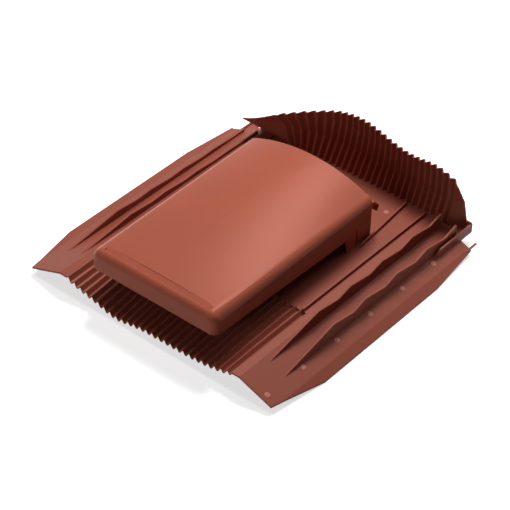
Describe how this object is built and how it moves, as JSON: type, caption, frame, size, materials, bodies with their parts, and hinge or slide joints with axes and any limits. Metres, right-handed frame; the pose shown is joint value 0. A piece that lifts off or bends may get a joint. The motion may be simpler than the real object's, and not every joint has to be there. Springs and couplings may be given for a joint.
{
  "type": "roof tile vent",
  "caption": "Brick-red moulded roof tile vent: a tile-sized pan with pleated front apron and rear flap, side water bars and an arched hood over a grilled throat.",
  "frame": {"origin": "middle of the overall box, at the level of the side lips' lower edges", "axes": "+X to the right across the slope, +Y up the slope, +Z away from the roof"},
  "size_m": [0.398, 0.4104, 0.1035],
  "materials": {
    "pan_plastic": "satin brick-red moulded polypropylene",
    "hood_plastic": "satin brick-red moulded polypropylene",
    "grille_plastic": "dark brown moulded polypropylene"
  },
  "bodies": {
    "root": {"base_pan": "pan_plastic", "hood": "hood_plastic", "insect_grille": "grille_plastic"}
  },
  "joints": []
}
